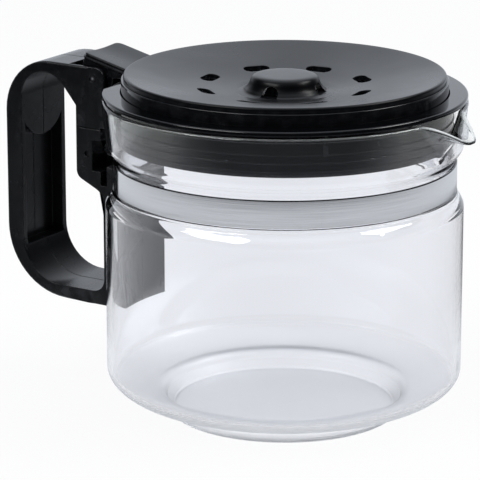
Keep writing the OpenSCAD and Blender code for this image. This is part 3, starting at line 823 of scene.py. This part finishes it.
def pull(turn, z):
    """How far the skin moves outwards here, in mm, and which share that is of the lip's middle."""
    radius = neck_radius(z)
    x, y = radius * math.cos(turn), radius * math.sin(turn)
    rise = (z - LIP_ROOT_Z) / (WALL_END_Z - LIP_ROOT_Z)
    if rise <= 0:
        return 0, 0
    nose = along_lip(rise)[0]
    soft = LIP_NOSE_R * (0.4 + 0.6 * rise)
    pulled = nose - LIP_SIDE_SLOPE * ((abs(y) ** 3 + soft ** 3) ** (1 / 3) - soft)
    blend = LIP_BLEND * min(1, 3 * rise)
    push = (pulled - x + math.sqrt((pulled - x) ** 2 + blend ** 2)) / 2
    fade = min(1, max(0, (math.radians(SPOUT_EDGE) - abs(turn)) / math.radians(LIP_FADE)))
    push *= fade * fade * (3 - 2 * fade)
    return push, min(1, push / max(nose - radius, 0.5))


def outer_wall(turn, z):
    """A point of the jug's outer skin near the spout, in mm, from its turn and its height before pulling."""
    radius = neck_radius(z)
    push, share = pull(turn, z)
    low = along_lip((z - LIP_ROOT_Z) / (WALL_END_Z - LIP_ROOT_Z))[1]
    fallen = z + (low - z) * share ** LIP_FALL_POWER
    return Vector((radius * math.cos(turn) + push, radius * math.sin(turn), fallen))


print("lip reaches", LIP_LINE[-1][0], "mm from the axis")

# %% Pull the pouring lip
lip_edge = bm.verts.layers.float.new("lip_edge")
for vert in bm.verts:
    x, y, z = (c / MM for c in vert.co)
    vert[lip_edge] = min(1, max(0, (z - WALL_END_Z + 0.2) / 0.3))
    radius, turn = math.hypot(x, y), math.atan2(y, x)
    if z <= LIP_ROOT_Z - 0.5 or abs(turn) > math.radians(SPOUT_EDGE) or radius < GROOVE_R - GLASS:
        continue
    level = min(z, WALL_END_Z)
    here = outer_wall(turn, level)
    up = (outer_wall(turn, level + 0.05) - outer_wall(turn, level - 0.05)).normalized()
    sideways = (outer_wall(turn + 0.001, level) - outer_wall(turn - 0.001, level)).normalized()
    outwards = sideways.cross(up).normalized()
    thin = 1 - LIP_THINNING * pull(turn, level)[1]
    vert.co = (here + (up * (z - level) - outwards * (neck_radius(level) - radius)) * thin) * MM

jug = finish_mesh("jug", bm, clear_glass, sharp=60)
stand_for(jug, "jug", "glass_jug")

# %% [markdown]
# ## The steel band
# A strip of polished steel lies in the groove. Its two ends turn out behind the jug and run into the
# handle, where a screw draws them together. A cylinder with a Solidify modifier would have sharp edges, so
# the strip's rounded cross-section is spun almost all the way round. Two slabs make the ears.

# %% Spin the band and extrude its ears
BAND_IN = 66.55
BAND_T = 0.65
BAND_Z = 91.1
BAND_H = 10.8
EAR_HALF_GAP = 1.25
EAR_ROOT = BAND_IN + 0.1
EAR_TIP = 81.55
EAR_INSET = 1.2
ear_turn = math.degrees(math.asin(EAR_HALF_GAP / (BAND_IN + BAND_T)))

bm = bmesh.new()
strip = rounded([
    (BAND_IN, BAND_Z, 0.12), (BAND_IN + BAND_T, BAND_Z, 0.22),
    (BAND_IN + BAND_T, BAND_Z + BAND_H, 0.22), (BAND_IN, BAND_Z + BAND_H, 0.12),
], steps=3)
first, last = spin(bm, strip, 220, ear_turn - 180, 180 - ear_turn, closed=True)
bmesh.ops.edgeloop_fill(bm, edges=first)
bmesh.ops.edgeloop_fill(bm, edges=last)
for side in (-1, 1):
    ear_in, ear_out = side * EAR_HALF_GAP, side * (EAR_HALF_GAP + BAND_T)
    ear = [(-EAR_ROOT, ear_in), (-EAR_TIP, ear_in), (-EAR_TIP, ear_out), (-EAR_ROOT, ear_out)]
    flat_slab(bm, ear, BAND_Z + EAR_INSET, BAND_Z + BAND_H - EAR_INSET)
close_up(bm)
band = finish_mesh("band", bm, polished_steel)
stand_for(band, "jug", "neck_band")

# %% [markdown]
# ## The handle's two shells
# The handle's side view, its finger opening, the channel in the grip and the clamp's pocket are all in
# the CAD shells, so their shape is right already and needn't be drawn again. What they lack is soft edges.
# A copy of each CAD mesh is merged, and its flat faces are joined. Cuts through the holes come first, because
# one face with a hole in it would close the hole. Then the grip's outer edges get a wide bevel for the hand,
# and all the others a narrow one, which also draws the seam where the shells meet.

# %% Soften the shells
GRIP_FROM = 0.0925
GRIP_BEVEL = 1.3
EDGE_BEVEL = 0.35
LOOP_MIDDLE = Vector((-0.1, 0, 0.082))
HOLE_CUTS = [
    ((-84.0, 0, 0), (1, 0, 0)), ((-81.1, 0, 0), (1, 0, 0)), ((-77.95, 0, 0), (1, 0, 0)),
    ((0, 0, 80), (0, 0, 1)),
]


def softened_shell(node, name):
    """A copy of a CAD shell with rounded edges."""
    bm = bmesh.new()
    bm.from_mesh(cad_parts[node].data)
    bmesh.ops.remove_doubles(bm, verts=bm.verts, dist=0.003 * MM)
    for place, direction in HOLE_CUTS:
        for edge in cut_flat(bm, place, direction):
            edge.seam = True
    bmesh.ops.dissolve_limit(bm, angle_limit=math.radians(1.2), verts=bm.verts, edges=bm.edges,
                             delimit={"SEAM"})
    half_w = max(abs(v.co.y) for v in bm.verts)

    def on_grip_outside(edge):
        """True on the edges round the outside of the loop that the hand feels."""
        if any(abs(abs(v.co.y) - half_w) > 0.02 * MM for v in edge.verts):
            return False
        middle = (edge.verts[0].co + edge.verts[1].co) / 2
        outwards = max((f.normal for f in edge.link_faces), key=lambda n: abs(n.x) + abs(n.z))
        return -middle.x > GRIP_FROM and (middle - LOOP_MIDDLE).dot(outwards) > 0

    bevel(bm, sharp_edges(bm, 35, on_grip_outside), GRIP_BEVEL, 4)
    bevel(bm, sharp_edges(bm, 35), EDGE_BEVEL, 2)
    return finish_mesh(name, bm, black_handle, sharp=40)


for side in ("right", "left"):
    shell = softened_shell(f"handle_shell_{side}", f"handle_{side}")
    stand_for(shell, "jug", f"handle_shell_{side}")

# %% [markdown]
# ## The lid's collar
# The collar is a ring with a wide flange that rests over the glass, and a skirt that hangs into the
# neck, with three beads and four ribs. All of it could be one outline, but the flange is cut off straight
# beside the hinge and the skirt isn't. So each round form is spun from its own outline, the flange is cut
# with a plane, and the hinge arm is a slab seen from the side.

# %% Spin the flange
BORE_R = 63.8
SKIRT_R = 65.3
FLANGE_R = 71.0
FLANGE_TOP = 128.7
FLANGE_T = 1.8
FLANGE_CUT = 60.2

bm = bmesh.new()
spin(bm, rounded([
    (BORE_R, FLANGE_TOP - FLANGE_T, 0), (FLANGE_R, FLANGE_TOP - FLANGE_T, 0.35),
    (FLANGE_R, FLANGE_TOP, 0.8), (BORE_R, FLANGE_TOP, 0.25),
]), closed=True)
close_up(bm)
bmesh.ops.holes_fill(bm, edges=cut_flat(bm, (-FLANGE_CUT, 0, 0), (-1, 0, 0), clear_outer=True))
bevel(bm, sharp_edges(bm, 50, lambda e: all(abs(v.co.x + FLANGE_CUT * MM) < 0.01 * MM for v in e.verts)),
      0.2, 2)
print("flange of", len(bm.faces), "faces")

# %% Add the skirt, its beads and its ribs
COLLAR_LOW = 110.3
BEADS = 3
BEAD_PITCH = 3.2
BEAD_OUT = 0.5
RIBS = 4
RIB_SIZE = Vector((2.2, 1.8, 9.4))
RIB_Z = 123.1

skirt = [
    (BORE_R, FLANGE_TOP - 0.3, 0), (BORE_R, COLLAR_LOW + 1, 0), (BORE_R - 1, COLLAR_LOW + 1, 0),
    (BORE_R - 1, COLLAR_LOW, 0.2), (SKIRT_R, COLLAR_LOW, 0.4),
]
for i in range(BEADS):
    low = COLLAR_LOW + 1.9 + BEAD_PITCH * i
    skirt += [(SKIRT_R, low, 0), (SKIRT_R + BEAD_OUT, low + 0.1, 0.2),
              (SKIRT_R + BEAD_OUT, low + 0.7, 0.2), (SKIRT_R, low + 0.8, 0)]
skirt += [(SKIRT_R, FLANGE_TOP - 0.3, 0)]
spin(bm, rounded(skirt, 3), closed=True)
for i in range(RIBS):
    turn = math.radians(45 + 360 * i / RIBS)
    rib = bmesh.ops.create_cube(bm, size=1)["verts"]
    bmesh.ops.scale(bm, vec=RIB_SIZE * MM, verts=rib)
    bmesh.ops.translate(bm, vec=Vector((SKIRT_R + 0.1, 0, RIB_Z)) * MM, verts=rib)
    bmesh.ops.rotate(bm, cent=(0, 0, 0), matrix=Matrix.Rotation(turn, 3, "Z"), verts=rib)
close_up(bm)
print("collar rings of", len(bm.faces), "faces")

# %% Add the hinge arm
HUB_R = 8.0
ARM_HALF = 11.8
ARM_IN = 64.5
PLATE_OUT = 88.0
PLATE_TOP = 136.2
PLATE_T = 1.9
PLATE_FALL = 0.235


def plate_under(s):
    """The height of the plate's underside at a distance from the axis."""
    return PLATE_TOP - (PLATE_OUT - s) * PLATE_FALL - PLATE_T


arm = bmesh.new()
side_slab(arm, [
    (PLATE_OUT - 1, plate_under(PLATE_OUT - 1)), *arc((PIN_S, PIN_Z), HUB_R, 10, -184, 28),
    (ARM_IN, 126.9), (ARM_IN, plate_under(ARM_IN)),
], -ARM_HALF, ARM_HALF)
bmesh.ops.recalc_face_normals(arm, faces=arm.faces)
bevel(arm, sharp_edges(arm, 35), 0.4, 3)
bm.from_mesh(as_mesh("arm", arm))
collar = finish_mesh("collar", bm, black_lid)
stand_for(collar, "lid", "lid_collar")

# %% [markdown]
# ## The thumb plate
# The thumb presses this plate to lift the lid. Seen from above it is a rectangle with two round corners
# and a hollow end that goes round the cap. Its top dips towards the middle, and a thin ledge runs along
# the bottom of its sides. The dip could be sculpted, but a flat slab that is cut into a grid by planes can
# be bent by a formula, and stays even.

# %% Cut and bend the plate
PLATE_HALF = 12.8
PLATE_IN = 64.3
PLATE_CORNER = 3
LEDGE_OUT = 0.6
LEDGE_T = 0.6
DIP = 0.55


def plate_outline(half, out):
    """The plate seen from above."""
    edge = [(-math.sqrt(PLATE_IN ** 2 - w * w), w) for w in [half * (1 - i / 6) for i in range(13)]]
    return [*edge, *arc((PLATE_CORNER - out, PLATE_CORNER - half), PLATE_CORNER, 270, 180, 6),
            *arc((PLATE_CORNER - out, half - PLATE_CORNER), PLATE_CORNER, 180, 90, 6)]


bm = bmesh.new()
flat_slab(bm, plate_outline(PLATE_HALF - LEDGE_OUT, PLATE_OUT - LEDGE_OUT), 0.35, PLATE_T)
bmesh.ops.recalc_face_normals(bm, faces=bm.faces)
bevel(bm, sharp_edges(bm, 60, lambda e: all(v.co.z > 1.5 * MM for v in e.verts)), 0.7, 4)
for s in range(66, 88, 2):
    cut_flat(bm, (-s, 0, 0), (1, 0, 0), 0.0001)
for w in range(-11, 12, 2):
    cut_flat(bm, (0, w, 0), (0, 1, 0), 0.0001)
for vert in bm.verts:
    if vert.co.z > 1 * MM:
        across = min(1, abs(vert.co.y) / (PLATE_HALF * MM))
        vert.co.z -= DIP * MM * (1 - across ** 2) ** 2
known = set(bm.edges)
flat_slab(bm, plate_outline(PLATE_HALF, PLATE_OUT), 0, LEDGE_T)
bmesh.ops.recalc_face_normals(bm, faces=bm.faces)
bevel(bm, sharp_edges(bm, 60, lambda e: e not in known and all(v.co.z > 0.5 * MM for v in e.verts)),
      0.45, 2)
for vert in bm.verts:
    vert.co.z += plate_under(-vert.co.x / MM) * MM
plate = finish_mesh("thumb_rest", bm, black_satin)
stand_for(plate, "lid", "thumb_plate")

# %% [markdown]
# ## The cap
# The cap is a shallow dish that catches the dripping coffee, and its eight vents and the knob's four
# arches let it through. The holes could be left open in the spun faces, but on a curved face their walls
# come out ragged. So the outline is spun whole, and a Boolean modifier cuts the holes, as a mould maker
# sets cores in the mould. Each cut edge then gets a small bevel, which catches the light.

# %% Draw the knob and the dish
CAP_R = 62.6
CAP_TOP = 135.8
CAP_T = 1.8
CAP_EDGE_R = 1.1
DISH_FLOOR = 128.4
DISH_RISE = 7.2
DISH_POWER = 1.08
KNOB_TOP_R = 13.2
KNOB_FOOT_R = 17.3
KNOB_Z = 135.2
KNOB_OUT = [0.5, 0.7, 0.82, 0.91, 0.97, 1, 1, 1, 1, 1]
KNOB_FLARE = [0, 0, 0, 0, 0, 0.05, 0.17, 0.32, 0.56, 0.8]
KNOB_FALL = [0, 0.003, 0.02, 0.07, 0.17, 0.32, 0.5, 0.66, 0.81, 0.93]
BARREL_TOP = 133.6
SPIGOT_R = 61.68
SPIGOT_H = 3


def knob_curve(drop):
    """The knob from its top to its foot, set in by a wall's thickness."""
    top, foot = KNOB_Z - drop, DISH_FLOOR - drop
    points = [((KNOB_TOP_R - drop) * out + (KNOB_FOOT_R - KNOB_TOP_R) * flare, top - (top - foot) * fall)
              for out, flare, fall in zip(KNOB_OUT, KNOB_FLARE, KNOB_FALL)]
    return smooth_through([*points, (KNOB_FOOT_R - drop + 1.4, foot)], 4)


def dish_curve(drop, steps=20):
    """The dish from the knob's foot to its edge."""
    points = []
    for i in range(1, steps + 1):
        t = i / steps
        points.append((KNOB_FOOT_R + (CAP_R - 2.4 - KNOB_FOOT_R) * t,
                       DISH_FLOOR + DISH_RISE * t ** DISH_POWER - drop))
    return points


top_side = [(0, KNOB_Z), *knob_curve(0), *[p for p in dish_curve(0) if p[0] > KNOB_FOOT_R + 2]]
edge = [*arc((CAP_R - CAP_EDGE_R, CAP_TOP - CAP_EDGE_R), CAP_EDGE_R, 90, 0, 8), (CAP_R, BARREL_TOP),
        (SPIGOT_R, BARREL_TOP), (SPIGOT_R, BARREL_TOP - SPIGOT_H),
        (SPIGOT_R - CAP_T, BARREL_TOP - SPIGOT_H), (SPIGOT_R - CAP_T, BARREL_TOP - 0.9)]
inner_dish = [p for p in dish_curve(CAP_T, 10) if KNOB_FOOT_R + 2 < p[0] < SPIGOT_R - CAP_T - 1]
under_side = [*reversed(inner_dish), *reversed(knob_curve(CAP_T)), (0, KNOB_Z - CAP_T)]
print("dish outline of", len(top_side + edge + under_side), "points")

# %% Spin the dish
bm = bmesh.new()
spin(bm, top_side + edge + under_side, 216)
close_up(bm)
dish = finish_mesh("cap_top", bm, black_satin)

# %% Cut the vents and the arches
VENTS = 8
VENT_L = 10.5
VENT_W = 5.2
VENT_RING = 32.2
VENT_TURN = 7.5
ARCHES = 4
ARCH_W = 6.4
ARCH_H = 3.9
ARCH_TURN = 9.0
ARCH_FROM = 8
ARCH_DEPTH = 8.7


def turned(points, degrees):
    """Points turned about the axis, seen from above."""
    c, s = math.cos(math.radians(degrees)), math.sin(math.radians(degrees))
    return [(x * c - y * s, x * s + y * c) for x, y in points]


def cut_away(piece, cutter_bm, name):
    """Takes a cutter's shape away from a piece with a Boolean modifier, and keeps the result."""
    bmesh.ops.recalc_face_normals(cutter_bm, faces=cutter_bm.faces)
    cutter = add_object(name, as_mesh(name, cutter_bm))
    weighted = piece.modifiers[0]
    weighted.show_viewport = False
    boolean = piece.modifiers.new("cut", "BOOLEAN")
    boolean.operation = "DIFFERENCE"
    boolean.solver = "EXACT"
    boolean.object = cutter
    graph = bpy.context.evaluated_depsgraph_get()
    cut_mesh = bpy.data.meshes.new_from_object(piece.evaluated_get(graph))
    piece.modifiers.remove(boolean)
    weighted.show_viewport = True
    piece.data = cut_mesh
    bpy.data.objects.remove(cutter)


half_run = (VENT_L - VENT_W) / 2
vent = [*arc((VENT_RING, half_run), VENT_W / 2, 0, 180, 16),
        *arc((VENT_RING, -half_run), VENT_W / 2, 180, 360, 16)]
cores = bmesh.new()
for i in range(VENTS):
    flat_slab(cores, turned(vent, VENT_TURN + 360 * i / VENTS), DISH_FLOOR - 4, DISH_FLOOR + 6)
arch = [*arc((0, ARCH_H - ARCH_W / 2), ARCH_W / 2, 0, 180, 16), (-ARCH_W / 2, 0), (ARCH_W / 2, 0)]
for i in range(ARCHES):
    to_side = ARCH_TURN + 360 * i / ARCHES
    corners = zip(turned([(ARCH_FROM, w) for w, up in arch], to_side), arch)
    grow(cores, [(x, y, DISH_FLOOR + 0.4 + up) for (x, y), (w, up) in corners],
         (*turned([(ARCH_DEPTH, 0)], to_side)[0], 0))
cut_away(dish, cores, "cores")
print("cut", VENTS, "vents and", ARCHES, "arches")

# %% Soften the cut edges
def near_a_cut(edge):
    """True on the edges of the vents and the arches."""
    middle = (edge.verts[0].co + edge.verts[1].co) / 2 / MM
    radius = math.hypot(middle.x, middle.y)
    return 9 < radius < 38 and middle.z > DISH_FLOOR - 1.5


bm = bmesh.new()
bm.from_mesh(dish.data)
bmesh.ops.dissolve_degenerate(bm, dist=0.005 * MM, edges=bm.edges)
bevel(bm, sharp_edges(bm, 40, near_a_cut), 0.3, 2)
bm.to_mesh(dish.data)
bm.free()
dish.data.shade_smooth()
dish.data.set_sharp_from_angle(angle=math.radians(32))
stand_for(dish, "cap", "cap_dish")
print("cap_top has", len(dish.data.polygons), "faces")

# %% Spin the barrel
BARREL_R = 63.5
BARREL_IN = 61.7
BARREL_LOW = 116.1
SEAL_Z = 117.5
SEAL_GROOVE_H = 2.2

bm = bmesh.new()
spin(bm, rounded([
    (BARREL_IN, BARREL_LOW, 0.3), (BARREL_R, BARREL_LOW, 0.3), (BARREL_R, SEAL_Z, 0),
    (BARREL_R - 1, SEAL_Z, 0), (BARREL_R - 1, SEAL_Z + SEAL_GROOVE_H, 0),
    (BARREL_R, SEAL_Z + SEAL_GROOVE_H, 0), (BARREL_R, BARREL_TOP, 0.4), (BARREL_IN, BARREL_TOP, 0),
], 3), closed=True)
close_up(bm)
barrel = finish_mesh("cap_wall", bm, black_lid)
stand_for(barrel, "cap", "cap_barrel")

# %% [markdown]
# ## The small parts
# The screw, nut, washers, pins and seal are turned or moulded to plain shapes, and stay hidden for the most
# part. They could be modelled again with bevels, but nobody would see it. They are right as CAD made them,
# and only get their materials.

# %% Give the CAD nodes their materials
small_parts = {
    "clamp_screw": screw_steel, "clamp_nut": screw_steel, "clamp_washers": screw_steel,
    "shell_pin": dark_pin, "hinge_pin": dark_pin, "cap_seal_ring": seal_rubber,
}
for node, material in small_parts.items():
    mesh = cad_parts[node].data
    mesh.materials.clear()
    mesh.materials.append(material)
print("small parts:", len(small_parts))

# %% [markdown]
# ## Finish
# The colours are shown as they are written, with the Standard view. The script prints the size of the
# dressed model.

# %% Print the size and finish
bpy.context.scene.view_settings.view_transform = "Standard"
low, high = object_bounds()
print("dressed box in mm:", [round(x / MM, 1) for x in (high - low)])
